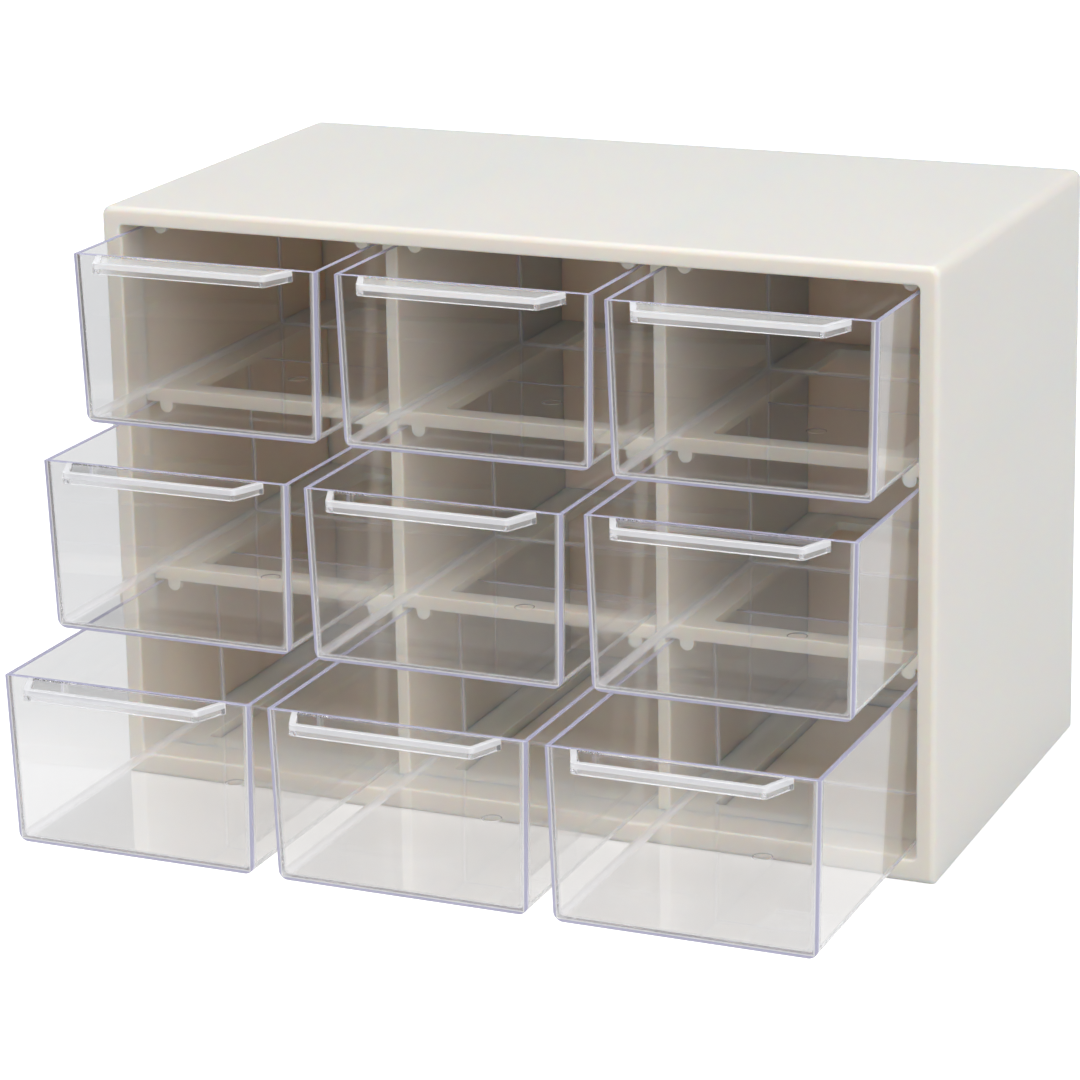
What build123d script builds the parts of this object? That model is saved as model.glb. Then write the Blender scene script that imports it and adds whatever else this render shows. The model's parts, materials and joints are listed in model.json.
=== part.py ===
from build123d import *
import os

# A parts bin cabinet: a moulded case holding nine clear drawers in three rows of three.
# Millimetres. X runs to the right, Y to the back and Z up. The origin is the centre of the
# case's underside. The drawers stand open in steps, the bottom row furthest.

os.makedirs("parts", exist_ok=True)

column_names = ["left", "centre", "right"]
row_names = ["bottom", "middle", "top"]
columns = len(column_names)
rows = len(row_names)

# Outer case
case_width = 180.0
case_depth = 98.0
case_height = 124.0
case_wall = 2.4
band_side = 4.0  # thickness of the band round the front opening: at the sides,
band_top = 3.8  # above the opening
band_bottom = 4.8  # and below it
band_depth = 9.0  # how far the band runs back from the front
top_edge_radius = 2.0
base_edge_radius = 0.8
front_edge_radius = 1.2
opening_edge_radius = 0.5
opening_corner_radius = 1.0
fit_gap = 0.1  # clearance all round between seated pieces

# Back panel
panel_thickness = 2.4
bead_width = 1.0
bead_height = 0.4

# Dividers
divider_thickness = 2.7
divider_seat = 0.8  # depth of the grooves that hold the dividers in floor and ceiling
divider_edge_radius = 0.4

# Shelf frames and floor frames
shelf_thickness = 1.8
bar_depth = 5.0  # front and rear bars, front to back
bar_drop = 1.2  # how far a shelf's front bar reaches below its ledges
ledge_width = 8.5  # side ledges, measured from the side of the column
frame_corner_radius = 1.0
frame_edge_radius = 0.3
tongue_thickness = 1.0
tongue_depth = 0.8
tongue_setback = 3.0  # the tongues start this far behind the front edge

# Stop tabs
tab_width = 2.9
tab_thickness = 1.6
tab_inset = 4.6  # from the side of the column to the tab's middle
tab_overlap = 1.5  # how far a tab reaches below the rim of a drawer

# Drawers
drawer_wall = 1.0
drawer_side_gap = 0.55
drawer_lift = 0.3  # running clearance under a drawer
drawer_headroom = 1.8  # from the rim up to the underside of the shelf above
drawer_rear_gap = 0.4  # to the back panel when the drawer is shut
drawer_setback = 0.6  # from the front wall of a shut drawer to the dividers behind it
side_draft = 0.9  # how much each side leans in from rim to floor
end_draft = 0.7  # the same for the front and the rear
drawer_corner_radius = 2.0
gate_radius = 2.0
gate_depth = 0.3

# Pull plate along the front rim
pull_back_width = 44.4
pull_front_width = 38.2
pull_reach = 6.9
pull_thickness = 1.2
pull_lip = 2.3  # from the top of the plate to the foot of its lip
pull_corner_radius = 1.2
pull_root = 0.6  # how deep the plate is rooted in the front wall

# How far each drawer stands out of the case's front, left to right
rest_reach = {
    "bottom": (54.0, 54.0, 54.5),
    "middle": (35.0, 35.5, 34.0),
    "top": (19.5, 19.5, 22.5),
}

# Places that follow from the sizes
front_y = -case_depth / 2
back_y = case_depth / 2
rack_y = front_y + band_depth
panel_y = back_y - panel_thickness
opening_width = case_width - 2 * band_side
opening_height = case_height - band_top - band_bottom
opening_middle_z = band_bottom + opening_height / 2
inside_width = case_width - 2 * case_wall
inside_height = case_height - 2 * case_wall
ceiling_z = case_height - case_wall
column_width = (opening_width - (columns - 1) * divider_thickness) / columns
column_pitch = column_width + divider_thickness
row_height = (opening_height - (rows - 1) * shelf_thickness) / rows
row_pitch = row_height + shelf_thickness
rack_length = panel_y - rack_y
tab_length = drawer_headroom + tab_overlap

drawer_width = column_width - 2 * drawer_side_gap
drawer_height = row_height - drawer_lift - drawer_headroom
shut_front_y = rack_y - drawer_setback - drawer_wall
drawer_length = panel_y - drawer_rear_gap - shut_front_y


def column_x(column):
    """Middle of a column."""
    return (column - (columns - 1) / 2) * column_pitch


def divider_x(index):
    """Middle of a divider."""
    return (column_x(index) + column_x(index + 1)) / 2


def row_floor(row):
    """Level on which the drawers of a row slide."""
    return band_bottom + row * row_pitch


def frame_span(column):
    """Left and right ends of a frame: the dividers, or the case's walls in the outer columns."""
    left = column_x(column) - column_width / 2
    right = column_x(column) + column_width / 2
    if column == 0:
        left = -inside_width / 2
    if column == columns - 1:
        right = inside_width / 2
    return left, right


def tab_middles(column):
    """Middles of the two stop tabs of a column."""
    reach = column_width / 2 - tab_inset
    return column_x(column) - reach, column_x(column) + reach


def tab_sketch(middles, root_z, row_top):
    """Sketch of round-ended tabs that hang from root_z to tab_length below row_top."""
    foot_z = row_top - tab_length + tab_width / 2
    with BuildSketch(Plane.XZ.offset(-rack_y)) as tabs:
        for x in middles:
            with Locations((x, (root_z + foot_z) / 2)):
                Rectangle(tab_width, root_z - foot_z)
            with Locations((x, foot_z)):
                Circle(tab_width / 2)
    return tabs.sketch


def pull_outline(x, y, inset):
    """Corners of the pull plate, with its front and ends drawn in by inset."""
    back_half = pull_back_width / 2 - inset
    front_half = pull_front_width / 2 - inset
    back = y + pull_root
    front = y - pull_reach + inset
    return [
        (x - back_half, back),
        (x - front_half, front),
        (x + front_half, front),
        (x + back_half, back),
    ]


# Outer case: sleeve with a thicker band round its front opening
with BuildPart() as outer_case:
    with BuildSketch(Plane.XZ.offset(-back_y)):
        with Locations((0, case_height / 2)):
            Rectangle(case_width, case_height)
    extrude(amount=case_depth)
    fillet(outer_case.edges().filter_by(Axis.Y).group_by(Axis.Z)[-1], top_edge_radius)
    fillet(outer_case.edges().filter_by(Axis.Y).group_by(Axis.Z)[0], base_edge_radius)
    fillet(outer_case.faces().sort_by(Axis.Y)[0].edges(), front_edge_radius)
    with BuildSketch(Plane.XZ.offset(-front_y)):
        with Locations((0, opening_middle_z)):
            RectangleRounded(opening_width, opening_height, opening_corner_radius)
    extrude(amount=-band_depth, mode=Mode.SUBTRACT)
    fillet(outer_case.faces().sort_by(Axis.Y)[0].inner_wires()[0].edges(), opening_edge_radius)
    with BuildSketch(Plane.XZ.offset(-back_y)):
        with Locations((0, case_height / 2)):
            Rectangle(inside_width, inside_height)
    extrude(amount=case_depth - band_depth, mode=Mode.SUBTRACT)
    # grooves in floor and ceiling for the dividers
    for index in range(columns - 1):
        with BuildSketch(Plane.XZ.offset(-back_y)):
            with Locations((divider_x(index), case_height / 2)):
                Rectangle(divider_thickness + 2 * fit_gap, inside_height + 2 * divider_seat)
        extrude(amount=back_y - rack_y, mode=Mode.SUBTRACT)
    # grooves in the side walls for the tongues of the shelf frames
    for row in range(1, rows):
        with BuildSketch(Plane.XZ.offset(-back_y)):
            with Locations((0, row_floor(row) - shelf_thickness / 2)):
                Rectangle(inside_width + 2 * tongue_depth, tongue_thickness + 2 * fit_gap)
        extrude(amount=back_y - rack_y - tongue_setback + fit_gap, mode=Mode.SUBTRACT)
    # groove all round for the back panel's bead
    with BuildSketch(Plane.XZ.offset(-(panel_y + back_y + bead_width) / 2 - fit_gap)):
        with Locations((0, case_height / 2)):
            Rectangle(inside_width + 2 * bead_height, inside_height + 2 * bead_height)
    extrude(amount=bead_width + 2 * fit_gap, mode=Mode.SUBTRACT)
    for column in range(columns):
        tabs = tab_sketch(tab_middles(column), ceiling_z, row_floor(rows) - shelf_thickness)
        extrude(tabs, amount=-tab_thickness)
outer_case.part.label = "outer_case"
export_step(outer_case.part, "parts/outer_case.step")

# Back panel: plain plate with a bead round its edge
with BuildPart() as back_panel:
    with BuildSketch(Plane.XZ.offset(-back_y)):
        with Locations((0, case_height / 2)):
            Rectangle(inside_width - 2 * fit_gap, inside_height - 2 * fit_gap)
    extrude(amount=panel_thickness)
    bead_growth = 2 * (bead_height - fit_gap)
    with BuildSketch(Plane.XZ.offset(-(panel_y + back_y + bead_width) / 2)):
        with Locations((0, case_height / 2)):
            Rectangle(inside_width + bead_growth, inside_height + bead_growth)
    extrude(amount=bead_width)
back_panel.part.label = "back_panel"
export_step(back_panel.part, "parts/back_panel.step")

# Dividers: upright walls between the columns, grooved for the shelf frames
for index, side in enumerate(["left", "right"]):
    with BuildPart() as divider:
        with BuildSketch(Plane.XZ.offset(-panel_y)):
            with Locations((divider_x(index), case_height / 2)):
                Rectangle(divider_thickness, inside_height + 2 * (divider_seat - fit_gap))
        extrude(amount=rack_length)
        fillet(divider.edges().filter_by(Axis.Z).group_by(Axis.Y)[0], divider_edge_radius)
        with BuildSketch(Plane.XZ.offset(-panel_y)):
            for row in range(1, rows):
                for face in (-1, 1):
                    groove_x = divider_x(index) + face * (divider_thickness - tongue_depth) / 2
                    with Locations((groove_x, row_floor(row) - shelf_thickness / 2)):
                        Rectangle(tongue_depth, tongue_thickness + 2 * fit_gap)
        extrude(amount=rack_length - tongue_setback + fit_gap, mode=Mode.SUBTRACT)
    divider.part.label = f"divider_{side}"
    export_step(divider.part, f"parts/{divider.part.label}.step")

# Frames: an open rectangle in each column of each level. Those of the upper levels have a
# taller front bar, tongues at their sides and stop tabs under the front bar. The floor frames
# lie on the floor.
for row in range(rows):
    frame_top = row_floor(row)
    frame_bottom = case_wall if row == 0 else frame_top - shelf_thickness
    for column, column_name in enumerate(column_names):
        left, right = frame_span(column)
        with BuildPart() as frame:
            with BuildSketch(Plane.XY.offset(frame_bottom)):
                with Locations(((left + right) / 2, (rack_y + panel_y) / 2)):
                    Rectangle(right - left - 2 * fit_gap, rack_length)
                with Locations((column_x(column), (rack_y + panel_y) / 2)):
                    RectangleRounded(
                        column_width - 2 * ledge_width,
                        rack_length - 2 * bar_depth,
                        frame_corner_radius,
                        mode=Mode.SUBTRACT,
                    )
            extrude(amount=frame_top - frame_bottom)
            if row > 0:
                with BuildSketch(Plane.XY.offset(frame_bottom)):
                    with Locations(((left + right) / 2, rack_y + bar_depth / 2)):
                        Rectangle(right - left - 2 * fit_gap, bar_depth)
                extrude(amount=-bar_drop)
            front_edges = frame.edges().filter_by(Axis.X).group_by(Axis.Y)[0]
            fillet(front_edges, frame_edge_radius)
            if row > 0:
                tongue_out = tongue_depth / 2 - fit_gap
                with BuildSketch(Plane.XZ.offset(-panel_y)):
                    for tongue_x in (left - tongue_out, right + tongue_out):
                        with Locations((tongue_x, frame_top - shelf_thickness / 2)):
                            Rectangle(tongue_depth, tongue_thickness)
                extrude(amount=rack_length - tongue_setback)
                tab_root = frame_bottom - bar_drop + frame_edge_radius
                tabs = tab_sketch(tab_middles(column), tab_root, frame_bottom)
                extrude(tabs, amount=-tab_thickness)
        level_name = ["floor", "lower", "upper"][row]
        kind = "frame" if row == 0 else "shelf"
        frame.part.label = f"{level_name}_{kind}_{column_name}"
        export_step(frame.part, f"parts/{frame.part.label}.step")

# Drawers: open clear boxes, narrower at the floor, with a pull plate along the front rim
for row, row_name in enumerate(row_names):
    floor_z = row_floor(row) + drawer_lift
    rim_z = floor_z + drawer_height
    for column, column_name in enumerate(column_names):
        x = column_x(column)
        drawer_front = front_y - rest_reach[row_name][column]
        middle_y = drawer_front + drawer_length / 2
        with BuildPart() as drawer:
            with BuildSketch(Plane.XY.offset(floor_z)):
                with Locations((x, middle_y)):
                    Rectangle(drawer_width - 2 * side_draft, drawer_length - 2 * end_draft)
            with BuildSketch(Plane.XY.offset(rim_z)):
                with Locations((x, middle_y)):
                    Rectangle(drawer_width, drawer_length)
            loft()
            fillet(drawer.edges().filter_by(Axis.Y).group_by(Axis.Z)[0], drawer_corner_radius)
            offset(amount=-drawer_wall, openings=drawer.faces().sort_by(Axis.Z)[-1])
            # mark of the moulding gate, a shallow round recess under the floor
            with BuildSketch(Plane.XY.offset(floor_z)):
                with Locations((x, middle_y)):
                    Circle(gate_radius)
            extrude(amount=gate_depth, mode=Mode.SUBTRACT)
            with BuildSketch(Plane.XY.offset(rim_z)):
                with BuildLine():
                    Polyline(*pull_outline(x, drawer_front, 0), close=True)
                make_face()
            extrude(amount=-pull_thickness)
            with BuildSketch(Plane.XY.offset(rim_z)):
                with BuildLine():
                    Polyline(*pull_outline(x, drawer_front, 0), close=True)
                make_face()
                with BuildLine():
                    Polyline(*pull_outline(x, drawer_front, pull_thickness), close=True)
                make_face(mode=Mode.SUBTRACT)
            extrude(amount=-pull_lip)
            fillet(drawer.edges().filter_by(Axis.Z).group_by(Axis.Y)[0], pull_corner_radius)
        drawer.part.label = f"drawer_{row_name}_{column_name}"
        export_step(drawer.part, f"parts/{drawer.part.label}.step")
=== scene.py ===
import json
import math

import bmesh
import bpy
from mathutils import Matrix, Vector

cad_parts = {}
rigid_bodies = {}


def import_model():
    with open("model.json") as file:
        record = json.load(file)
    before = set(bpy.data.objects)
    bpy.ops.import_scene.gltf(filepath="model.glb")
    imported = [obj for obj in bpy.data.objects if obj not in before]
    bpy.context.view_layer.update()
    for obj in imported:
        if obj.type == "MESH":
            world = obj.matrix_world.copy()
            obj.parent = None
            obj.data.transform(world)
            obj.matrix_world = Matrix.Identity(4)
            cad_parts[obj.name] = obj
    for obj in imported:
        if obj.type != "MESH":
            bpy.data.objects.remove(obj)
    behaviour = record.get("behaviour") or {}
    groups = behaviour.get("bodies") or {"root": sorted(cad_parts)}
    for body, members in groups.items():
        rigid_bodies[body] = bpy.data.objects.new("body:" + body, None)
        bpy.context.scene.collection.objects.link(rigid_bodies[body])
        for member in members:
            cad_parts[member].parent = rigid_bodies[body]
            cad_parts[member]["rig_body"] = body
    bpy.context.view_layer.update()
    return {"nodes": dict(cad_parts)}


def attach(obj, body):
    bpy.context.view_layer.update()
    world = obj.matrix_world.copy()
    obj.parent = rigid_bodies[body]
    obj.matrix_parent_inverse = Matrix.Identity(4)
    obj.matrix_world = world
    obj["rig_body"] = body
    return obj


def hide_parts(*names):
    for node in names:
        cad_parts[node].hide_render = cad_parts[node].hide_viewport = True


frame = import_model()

# Looks for the parts bin cabinet: an ivory moulded case with nine clear drawers.
# Metres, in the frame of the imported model: X to the right, Y to the back, Z up, and the
# origin at the centre of the case's underside.

MM = 0.001

rows = ["top", "middle", "bottom"]
columns = ["left", "centre", "right"]
drawers = [f"drawer_{row}_{column}" for row in rows for column in columns]
ivory_nodes = [name for name in frame["nodes"] if name not in drawers]

# Strips of the clear drawers, painted with glow, highlight and pale sheen, measured inward from
# the outside of the walls
painted_glow_band = 0.6 * MM  # outermost strip of an edge, painted with the lavender glow of light carried along the wall
painted_highlight_band = 0.85 * MM  # the strip of painted highlight beside it ends here
painted_sheen_band = 1.5 * MM  # the strip of painted pale sheen ends here, past the wall's thickness
rounded_band = 2.0 * MM  # the rounded turn from the walls to the floor ends here; it is painted with pale sheen
pull_ring = 1.2 * MM  # ring round the pull plate, painted as highlight above and pale sheen on its low sides
painted_pull_highlight_depth = 1.1 * MM  # the ring's painted highlight reaches down to this far below the rim
pull_slant = (6.9, -3.1, 0.0)  # the way the pull's right end looks
drawer_edge_radius = 0.14 * MM
wall_area = 500.0 * MM**2  # a drawer's walls are larger than this
pull_end_area = 5.0 * MM**2  # the ends of its pull are larger than this
weld_distance = 0.001 * MM
front_tolerance = 0.05 * MM
flat_angle = math.radians(0.5)
sharp_angle = math.radians(35)

# Colours, as linear red, green and blue
ivory_colour = (0.75, 0.726, 0.68)
clear_colour = (0.985, 0.985, 0.988)
# painted glow: the plastic's faint lavender tint, lit as if by light carried along inside the
# clear walls
painted_glow_colour = (0.55, 0.54, 0.74)
# painted highlight along the drawers' edges and on the pull's lip
painted_highlight_colour = (0.93, 0.93, 0.95)
# painted pale sheen on the drawers' rounded turns, inner strips and the pull's low sides
painted_sheen_colour = (0.95, 0.95, 0.97)
lamp_tint = (0.99, 0.984, 0.976)  # what a clear wall leaves of the lamps' light
floor_grey = (0.57, 0.57, 0.57)
dark_grey = (0.1, 0.1, 0.1)
white = (1.0, 1.0, 1.0)


# Nodes of materials

def add(tree, kind, **settings):
    """A new node with its settings."""
    node = tree.nodes.new(kind)
    for name, value in settings.items():
        setattr(node, name, value)
    return node


def set_inputs(node, **values):
    """Sets input sockets by name, with underscores for spaces."""
    for name, value in values.items():
        node.inputs[name.replace("_", " ")].default_value = value


def blank_material(name):
    """A material without nodes, and its tree."""
    material = bpy.data.materials.new(name)
    material.use_nodes = True
    material.node_tree.nodes.clear()
    return material, material.node_tree


def rays(tree, *kinds):
    """1 for rays of any of these kinds, otherwise 0."""
    path = add(tree, "ShaderNodeLightPath")
    total = path.outputs[kinds[0]]
    for kind in kinds[1:]:
        either = add(tree, "ShaderNodeMath", operation="MAXIMUM")
        tree.links.new(total, either.inputs[0])
        tree.links.new(path.outputs[kind], either.inputs[1])
        total = either.outputs[0]
    return total


def moulded_surface_group():
    """Surface of moulded plastic: cloudy colour, uneven gloss, slow waves and a fine grain."""
    group = bpy.data.node_groups.new("moulded_surface", "ShaderNodeTree")
    inputs = (
        ("Colour", "NodeSocketColor"),
        ("Cloudiness", "NodeSocketFloat"),
        ("Roughness", "NodeSocketFloat"),
        ("Gloss Change", "NodeSocketFloat"),
        ("Wave Height", "NodeSocketFloat"),
        ("Grain Height", "NodeSocketFloat"),
    )
    for name, kind in inputs:
        group.interface.new_socket(name, in_out="INPUT", socket_type=kind)
    for name, kind in (
        ("Colour", "NodeSocketColor"),
        ("Roughness", "NodeSocketFloat"),
        ("Normal", "NodeSocketVector"),
    ):
        group.interface.new_socket(name, in_out="OUTPUT", socket_type=kind)
    given = add(group, "NodeGroupInput")
    result = add(group, "NodeGroupOutput")
    place = add(group, "ShaderNodeTexCoord")
    clouds = add(group, "ShaderNodeTexNoise")
    set_inputs(clouds, Scale=45.0, Detail=3.0, Roughness=0.55)
    waves = add(group, "ShaderNodeTexNoise")
    set_inputs(waves, Scale=38.0, Detail=1.0, Roughness=0.4)
    grain = add(group, "ShaderNodeTexNoise")
    set_inputs(grain, Scale=2400.0, Detail=2.0, Roughness=0.6)
    for noise in (clouds, waves, grain):
        group.links.new(place.outputs["Object"], noise.inputs["Vector"])

    shade = add(group, "ShaderNodeMath", operation="MULTIPLY_ADD")
    group.links.new(clouds.outputs["Fac"], shade.inputs[0])
    group.links.new(given.outputs["Cloudiness"], shade.inputs[1])
    shade.inputs[2].default_value = 1.0
    middle = add(group, "ShaderNodeMath", operation="MULTIPLY_ADD")
    group.links.new(given.outputs["Cloudiness"], middle.inputs[0])
    middle.inputs[1].default_value = -0.5
    group.links.new(shade.outputs[0], middle.inputs[2])
    coloured = add(group, "ShaderNodeVectorMath", operation="SCALE")
    group.links.new(given.outputs["Colour"], coloured.inputs[0])
    group.links.new(middle.outputs[0], coloured.inputs["Scale"])
    group.links.new(coloured.outputs[0], result.inputs["Colour"])

    gloss = add(group, "ShaderNodeMath", operation="MULTIPLY_ADD")
    group.links.new(clouds.outputs["Fac"], gloss.inputs[0])
    group.links.new(given.outputs["Gloss Change"], gloss.inputs[1])
    group.links.new(given.outputs["Roughness"], gloss.inputs[2])
    group.links.new(gloss.outputs[0], result.inputs["Roughness"])

    wavy = add(group, "ShaderNodeBump")
    wavy.inputs["Strength"].default_value = 1.0
    group.links.new(given.outputs["Wave Height"], wavy.inputs["Distance"])
    group.links.new(waves.outputs["Fac"], wavy.inputs["Height"])
    grainy = add(group, "ShaderNodeBump")
    grainy.inputs["Strength"].default_value = 1.0
    group.links.new(given.outputs["Grain Height"], grainy.inputs["Distance"])
    group.links.new(grain.outputs["Fac"], grainy.inputs["Height"])
    group.links.new(wavy.outputs["Normal"], grainy.inputs["Normal"])
    group.links.new(grainy.outputs["Normal"], result.inputs["Normal"])
    return group


moulded_surface = moulded_surface_group()


def add_surface(tree, colour, cloudiness, roughness, gloss_change, wave_height, grain_height):
    """The shared surface with its own values."""
    surface = add(tree, "ShaderNodeGroup", node_tree=moulded_surface)
    set_inputs(
        surface,
        Colour=(*colour, 1.0),
        Cloudiness=cloudiness,
        Roughness=roughness,
        Gloss_Change=gloss_change,
        Wave_Height=wave_height,
        Grain_Height=grain_height,
    )
    return surface


def ivory_plastic():
    """Satin ivory plastic of the case."""
    material, tree = blank_material("ivory_plastic")
    surface = add_surface(tree, ivory_colour, 0.03, 0.36, 0.12, 0.05 * MM, 0.008 * MM)
    plastic = add(tree, "ShaderNodeBsdfPrincipled")
    set_inputs(
        plastic,
        IOR=1.5,
        Subsurface_Weight=1.0,
        Subsurface_Radius=(1.0, 0.66, 0.38),
        Subsurface_Scale=4.0 * MM,
    )
    for name, socket in (
        ("Colour", "Base Color"),
        ("Roughness", "Roughness"),
        ("Normal", "Normal"),
    ):
        tree.links.new(surface.outputs[name], plastic.inputs[socket])
    output = add(tree, "ShaderNodeOutputMaterial")
    tree.links.new(plastic.outputs[0], output.inputs["Surface"])
    return material


def let_lamps_through(tree, shader):
    """The shader, replaced for the lamps' rays by a plain tinted opening."""
    opening = add(tree, "ShaderNodeBsdfTransparent")
    set_inputs(opening, Color=(*lamp_tint, 1.0))
    by_ray = add(tree, "ShaderNodeMixShader")
    tree.links.new(rays(tree, "Is Shadow Ray", "Is Diffuse Ray"), by_ray.inputs[0])
    tree.links.new(shader.outputs[0], by_ray.inputs[1])
    tree.links.new(opening.outputs[0], by_ray.inputs[2])
    output = add(tree, "ShaderNodeOutputMaterial")
    tree.links.new(by_ray.outputs[0], output.inputs["Surface"])


def clear_plastic():
    """Clear polished polystyrene of the drawers."""
    material, tree = blank_material("clear_plastic")
    plastic = add(tree, "ShaderNodeBsdfPrincipled")
    set_inputs(
        plastic,
        Base_Color=(*clear_colour, 1.0),
        Roughness=0.0,
        IOR=1.55,
        Transmission_Weight=1.0,
    )
    let_lamps_through(tree, plastic)
    return material


def clear_edge(name, colour, clearness):
    """Edges of the clear plastic, where the light that comes out of the walls is painted in as
    colour.
    """
    material, tree = blank_material(name)
    surface = add_surface(tree, colour, 0.1, 0.18, 0.1, 0.0, 0.0)
    plastic = add(tree, "ShaderNodeBsdfPrincipled")
    set_inputs(plastic, IOR=1.5, Transmission_Weight=clearness)
    for value, socket in (("Colour", "Base Color"), ("Roughness", "Roughness")):
        tree.links.new(surface.outputs[value], plastic.inputs[socket])
    let_lamps_through(tree, plastic)
    return material


ivory = ivory_plastic()
clear = clear_plastic()
painted_edge_glow = clear_edge("painted_edge_glow", painted_glow_colour, 0.3)
painted_edge_highlight = clear_edge("painted_edge_highlight", painted_highlight_colour, 0.3)
painted_pale_sheen = clear_edge("painted_pale_sheen", painted_sheen_colour, 0.8)

# A drawer's materials, and their places in its mesh
drawer_materials = (clear, painted_edge_glow, painted_edge_highlight, painted_pale_sheen)
CLEAR, PAINTED_GLOW, PAINTED_HIGHLIGHT, PAINTED_SHEEN = range(len(drawer_materials))


# The object

def outermost(form, outward, least_area):
    """Plane of the outermost face that looks outward, as (point, normal)."""
    outward = Vector(outward).normalized()
    broad = [
        face
        for face in form.faces
        if face.normal.dot(outward) > 0.98 and face.calc_area() > least_area
    ]
    outer = max(broad, key=lambda face: face.calc_center_median().dot(outward))
    return outer.calc_center_median(), outer.normal.copy()


def cut(form, faces, plane, depth):
    """Cuts faces along a plane moved inward by depth."""
    point, normal = plane
    parts = {part for face in faces for part in (*face.verts, *face.edges, face)}
    bmesh.ops.bisect_plane(
        form,
        geom=list(parts),
        dist=weld_distance,
        plane_co=point - normal * depth,
        plane_no=normal,
    )


def sort_parts(form):
    """Puts a mesh's parts in order of place, since cuts leave them in another order each run."""
    for parts in (form.verts, form.edges, form.faces):
        places = {
            part: sorted(vertex.co[:] for vertex in getattr(part, "verts", [part]))
            for part in parts
        }
        order = {part: rank for rank, part in enumerate(sorted(parts, key=places.get))}
        parts.sort(key=order.get)


def clear_drawer(node):
    """A drawer with finely rounded edges, and strips along them painted with the glow, highlight
    and pale sheen that light gives the wall's thickness.
    """
    form = bmesh.new()
    form.from_mesh(frame["nodes"][node].data)
    bmesh.ops.remove_doubles(form, verts=form.verts[:], dist=weld_distance)
    bmesh.ops.dissolve_limit(
        form, angle_limit=flat_angle, verts=form.verts[:], edges=form.edges[:]
    )
    sides = ((-1, 0, 0), (1, 0, 0), (0, -1, 0), (0, 1, 0), (0, 0, -1))
    walls = [outermost(form, side, wall_area) for side in sides]
    front_wall = walls[sides.index((0, -1, 0))]
    front = Vector((0, -1, 0))
    lip = min(form.faces, key=lambda face: face.calc_center_median().y)
    reach, inset, level = pull_slant
    slants = ((-reach, inset, level), pull_slant)
    ends = [outermost(form, slant, pull_end_area) for slant in slants]
    pull = [(lip.calc_center_median(), front), *ends]

    def before_front(face):
        point, normal = front_wall
        return (face.calc_center_median() - point).dot(normal) > front_tolerance

    rim = max(vertex.co.z for vertex in form.verts)
    sharp = [
        edge for edge in form.edges if edge.is_manifold and edge.calc_face_angle() > sharp_angle
    ]
    bmesh.ops.bevel(
        form,
        geom=sharp,
        offset=drawer_edge_radius,
        segments=3,
        profile=0.5,
        affect="EDGES",
        clamp_overlap=True,
        material=-1,
    )
    for wall in walls:
        for depth in (rounded_band, painted_sheen_band, painted_highlight_band, painted_glow_band):
            cut(form, form.faces, wall, depth)
    cut(form, form.faces, front_wall, 0.0)
    for plane in pull:
        cut(form, [face for face in form.faces if before_front(face)], plane, pull_ring)
    top = (Vector((0, 0, rim)), Vector((0, 0, 1)))
    cut(form, [face for face in form.faces if before_front(face)], top, painted_pull_highlight_depth)
    for face in form.faces:
        middle = face.calc_center_median()
        depths = [(point - middle).dot(normal) for point, normal in walls]
        second = sorted(depths)[1]
        ends_on = min(depths[2:4])
        along_floor = depths[4] < rounded_band and min(depths[:2]) < rounded_band
        in_ring = min((point - middle).dot(normal) for point, normal in pull) < pull_ring
        on_rim = middle.z > rim - drawer_edge_radius
        # Painted light on the strips: lavender glow at the outer edges and rim, highlight beside
        # it and on the pull's ring, pale sheen further in, along the floor's rounded turn and on
        # the ring's low sides.
        if before_front(face):
            if in_ring:
                low_side = abs(face.normal.z) < 0.5 and middle.z < rim - painted_pull_highlight_depth
                face.material_index = PAINTED_SHEEN if low_side else PAINTED_HIGHLIGHT
        elif on_rim or (second < painted_glow_band and ends_on < painted_glow_band):
            face.material_index = PAINTED_GLOW
        elif second < painted_highlight_band and ends_on < painted_highlight_band:
            face.material_index = PAINTED_HIGHLIGHT
        elif along_floor or (second < painted_sheen_band and ends_on < painted_sheen_band):
            face.material_index = PAINTED_SHEEN
        else:
            face.material_index = CLEAR
        face.smooth = True
    sort_parts(form)
    name = f"clear_{node}"
    mesh = bpy.data.meshes.new(name)
    form.to_mesh(mesh)
    form.free()
    for material in drawer_materials:
        mesh.materials.append(material)
    piece = bpy.data.objects.new(name, mesh)
    bpy.context.scene.collection.objects.link(piece)
    flat_walls = piece.modifiers.new("flat_walls", "WEIGHTED_NORMAL")
    flat_walls.weight = 100
    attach(piece, frame["nodes"][node]["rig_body"])
    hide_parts(node)


for name in ivory_nodes:
    node = frame["nodes"][name]
    node.data.materials.clear()
    node.data.materials.append(ivory)

for name in drawers:
    clear_drawer(name)


# Floor, light and camera

def dark_side(tree, coordinate, limits):
    """1 at the studio's dark side in front of the object, for reflections only."""
    place = add(tree, "ShaderNodeTexCoord")
    split = add(tree, "ShaderNodeSeparateXYZ")
    tree.links.new(place.outputs[coordinate], split.inputs[0])
    fades = []
    for axis, (light, dark) in limits.items():
        fade = add(tree, "ShaderNodeMapRange", interpolation_type="SMOOTHSTEP")
        tree.links.new(split.outputs[axis], fade.inputs["Value"])
        for name, value in (("From Min", light), ("From Max", dark)):
            fade.inputs[name].default_value = value
        fades.append(fade.outputs["Result"])
    darker = add(tree, "ShaderNodeMath", operation="MAXIMUM")
    tree.links.new(fades[0], darker.inputs[0])
    tree.links.new(fades[-1], darker.inputs[1])
    reflected = add(tree, "ShaderNodeMath", operation="MULTIPLY")
    tree.links.new(darker.outputs[0], reflected.inputs[0])
    tree.links.new(rays(tree, "Is Glossy Ray"), reflected.inputs[1])
    return reflected.outputs[0]


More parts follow.
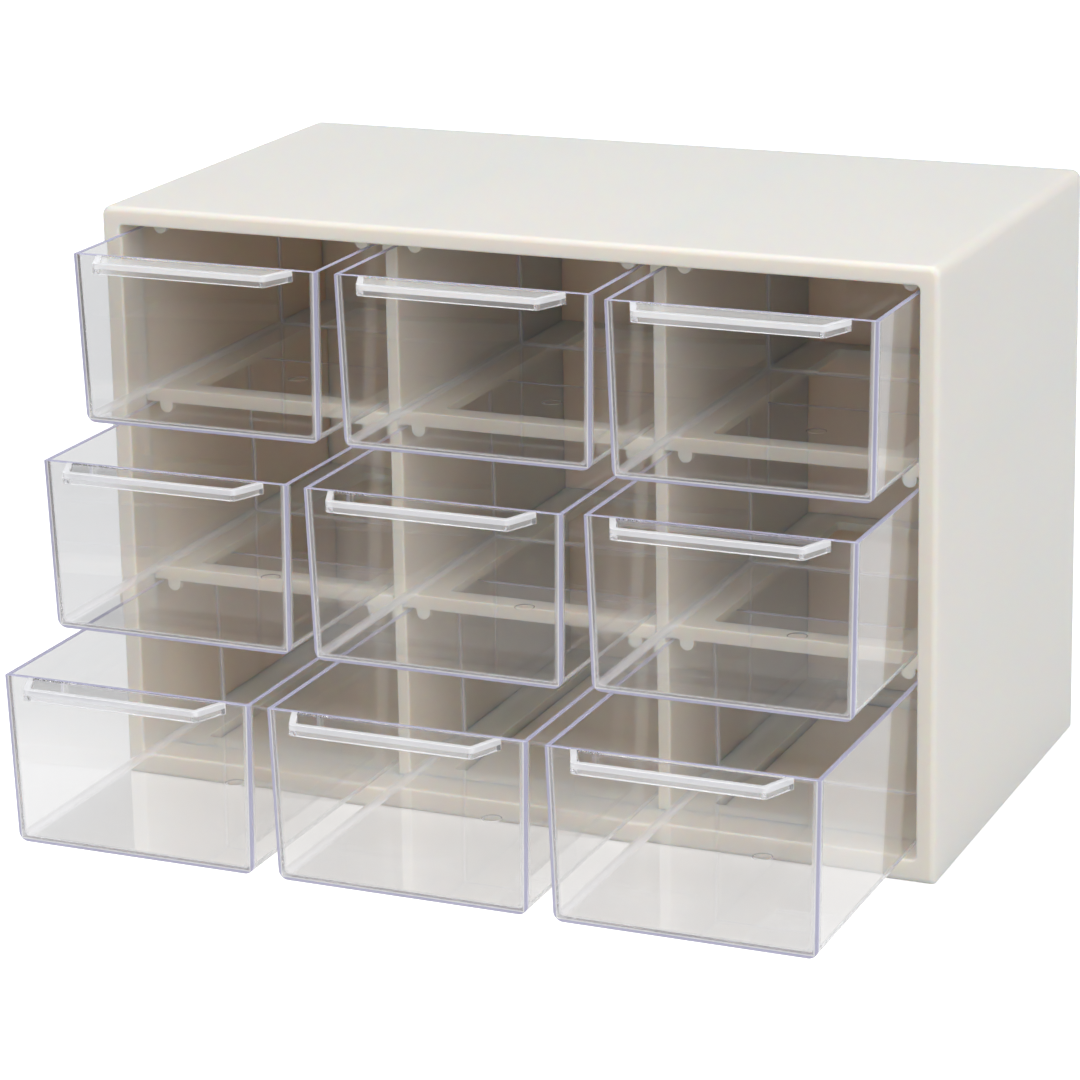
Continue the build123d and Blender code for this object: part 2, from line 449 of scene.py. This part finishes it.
def stage_floor():
    """Pale floor that looks white and keeps a soft shadow."""
    form = bmesh.new()
    bmesh.ops.create_grid(form, x_segments=1, y_segments=1, size=6.0)
    mesh = bpy.data.meshes.new("floor")
    form.to_mesh(mesh)
    form.free()
    material, tree = blank_material("pale_floor")
    plain = add(tree, "ShaderNodeBsdfDiffuse")
    set_inputs(plain, Color=(*floor_grey, 1.0))
    glow = add(tree, "ShaderNodeEmission")
    set_inputs(glow, Color=(*white, 1.0))
    place = add(tree, "ShaderNodeTexCoord")
    distance = add(tree, "ShaderNodeVectorMath", operation="LENGTH")
    tree.links.new(place.outputs["Object"], distance.inputs[0])
    strength = add(tree, "ShaderNodeMapRange")
    tree.links.new(distance.outputs["Value"], strength.inputs["Value"])
    for name, value in (("From Min", 0.3), ("From Max", 1.3), ("To Min", 0.75), ("To Max", 1.0)):
        strength.inputs[name].default_value = value
    through = add(tree, "ShaderNodeMath", operation="MULTIPLY_ADD")
    tree.links.new(rays(tree, "Is Transmission Ray"), through.inputs[0])
    through.inputs[1].default_value = -0.4  # what the clear drawers take from the white floor
    tree.links.new(strength.outputs["Result"], through.inputs[2])
    share = add(tree, "ShaderNodeMath", operation="MULTIPLY")
    tree.links.new(through.outputs[0], share.inputs[1])
    seen = rays(tree, "Is Camera Ray", "Is Glossy Ray", "Is Transmission Ray")
    tree.links.new(seen, share.inputs[0])
    tree.links.new(share.outputs[0], glow.inputs["Strength"])
    both = add(tree, "ShaderNodeAddShader")
    tree.links.new(plain.outputs[0], both.inputs[0])
    tree.links.new(glow.outputs[0], both.inputs[1])
    dim = add(tree, "ShaderNodeBsdfDiffuse")
    set_inputs(dim, Color=(*dark_grey, 1.0))
    by_side = add(tree, "ShaderNodeMixShader")
    in_front = {"Y": (-0.12, -0.35)}
    tree.links.new(dark_side(tree, "Object", in_front), by_side.inputs[0])
    tree.links.new(both.outputs[0], by_side.inputs[1])
    tree.links.new(dim.outputs[0], by_side.inputs[2])
    output = add(tree, "ShaderNodeOutputMaterial")
    tree.links.new(by_side.outputs[0], output.inputs["Surface"])
    mesh.materials.append(material)
    floor = bpy.data.objects.new("floor", mesh)
    bpy.context.scene.collection.objects.link(floor)


def stage_world():
    """Even pale surroundings, white where they are seen."""
    world = bpy.data.worlds.new("studio")
    world.use_nodes = True
    tree = world.node_tree
    tree.nodes.clear()
    seen = add(tree, "ShaderNodeBackground")
    set_inputs(seen, Color=(*white, 1.0))
    through = add(tree, "ShaderNodeMath", operation="MULTIPLY_ADD")
    tree.links.new(rays(tree, "Is Transmission Ray"), through.inputs[0])
    through.inputs[1].default_value = -0.06  # what they take from the white background
    through.inputs[2].default_value = 1.0
    tree.links.new(through.outputs[0], seen.inputs["Strength"])
    lighting = add(tree, "ShaderNodeBackground")
    set_inputs(lighting, Color=(0.98, 0.98, 1.0, 1.0), Strength=0.38)
    by_ray = add(tree, "ShaderNodeMixShader")
    kinds = rays(tree, "Is Camera Ray", "Is Glossy Ray", "Is Transmission Ray")
    tree.links.new(kinds, by_ray.inputs[0])
    tree.links.new(lighting.outputs[0], by_ray.inputs[1])
    tree.links.new(seen.outputs[0], by_ray.inputs[2])
    dim = add(tree, "ShaderNodeBackground")
    set_inputs(dim, Color=(*white, 1.0), Strength=0.1)
    by_side = add(tree, "ShaderNodeMixShader")
    in_front_or_above = {"Y": (0.3, -0.2), "Z": (0.238, 0.268)}
    tree.links.new(dark_side(tree, "Generated", in_front_or_above), by_side.inputs[0])
    tree.links.new(by_ray.outputs[0], by_side.inputs[1])
    tree.links.new(dim.outputs[0], by_side.inputs[2])
    output = add(tree, "ShaderNodeOutputWorld")
    tree.links.new(by_side.outputs[0], output.inputs["Surface"])
    bpy.context.scene.world = world


def softbox(name, place, aim, size, power, colour):
    """A square soft lamp at a place, turned towards a point. The power is in watts."""
    lamp = bpy.data.lights.new(name, "AREA")
    lamp.size = size
    lamp.energy = power
    lamp.color = colour
    box = bpy.data.objects.new(name, lamp)
    box.matrix_world = Matrix.Translation(place) @ (
        (Vector(aim) - Vector(place)).to_track_quat("-Z", "Y").to_matrix().to_4x4()
    )
    bpy.context.scene.collection.objects.link(box)


def photo_camera():
    """Camera at the photograph's viewing angle, long lens and slight roll."""
    data = bpy.data.cameras.new("camera")
    data.sensor_width = 36.0
    data.lens = 127.29
    data.shift_y = -0.15
    data.clip_start = 0.01
    data.clip_end = 20.0
    camera = bpy.data.objects.new("camera", data)
    turn, down, roll = math.radians(23.494), math.radians(14.412), math.radians(-1.055)
    camera.matrix_world = (
        Matrix.Translation((299.2 * MM, -719.3 * MM, 283.5 * MM))
        @ Matrix.Rotation(turn, 4, "Z")
        @ Matrix.Rotation(math.pi / 2 - down, 4, "X")
        @ Matrix.Rotation(roll, 4, "Z")
    )
    bpy.context.scene.collection.objects.link(camera)
    bpy.context.scene.camera = camera


stage_floor()
stage_world()
cabinet_middle = (0.0, 0.0, 0.06)
softbox("key_softbox", (-0.1, -0.75, 1.35), cabinet_middle, 1.2, 11.4, (1.0, 0.985, 0.97))
softbox("top_softbox", (-0.3, 0.45, 1.4), cabinet_middle, 1.0, 5.4, (0.84, 0.92, 1.0))
softbox("front_softbox", (0.3, -1.35, 1.0), cabinet_middle, 0.7, 3.6, (0.98, 0.99, 1.0))
softbox("side_softbox", (1.7, -0.6, 0.7), cabinet_middle, 1.0, 12.4, (0.95, 0.975, 1.0))
photo_camera()

scene = bpy.context.scene
scene.view_settings.view_transform = "Standard"
scene.cycles.max_bounces = 64
scene.cycles.diffuse_bounces = 3
scene.cycles.glossy_bounces = 48
scene.cycles.transmission_bounces = 24
scene.cycles.transparent_max_bounces = 40
